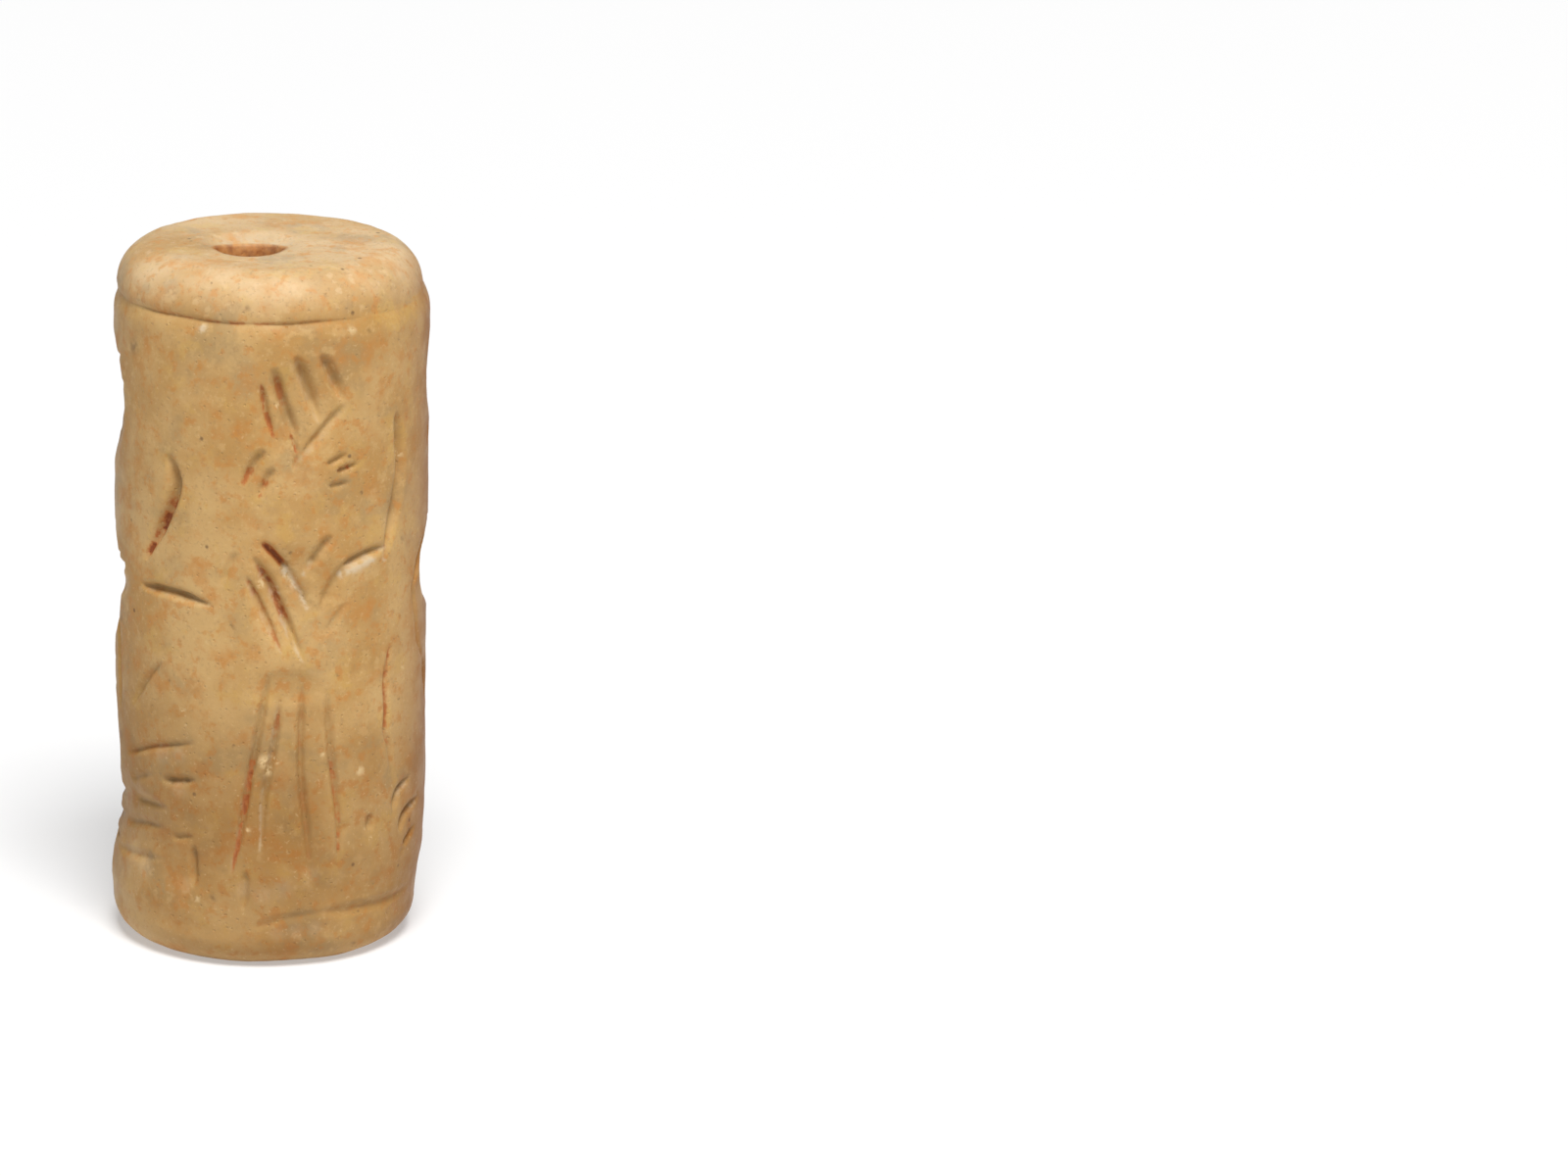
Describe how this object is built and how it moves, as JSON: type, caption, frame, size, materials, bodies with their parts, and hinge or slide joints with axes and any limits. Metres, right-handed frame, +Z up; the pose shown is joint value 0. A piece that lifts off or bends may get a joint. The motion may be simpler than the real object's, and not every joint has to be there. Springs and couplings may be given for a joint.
{
  "type": "cylinder seal",
  "caption": "Short rounded stone cylinder bored from end to end, with a raised end cap, a groove below it and a carved band of three schematic figures round its side.",
  "frame": {"origin": "middle of the underside, on the axis of the cylinder", "axes": "+Z up along the cylinder's axis, -Y towards the front figure"},
  "size_m": [0.016, 0.016, 0.036],
  "materials": {
    "stone": "worn, softly polished buff stone"
  },
  "bodies": {
    "root": {"seal_stone": "stone"}
  },
  "joints": []
}
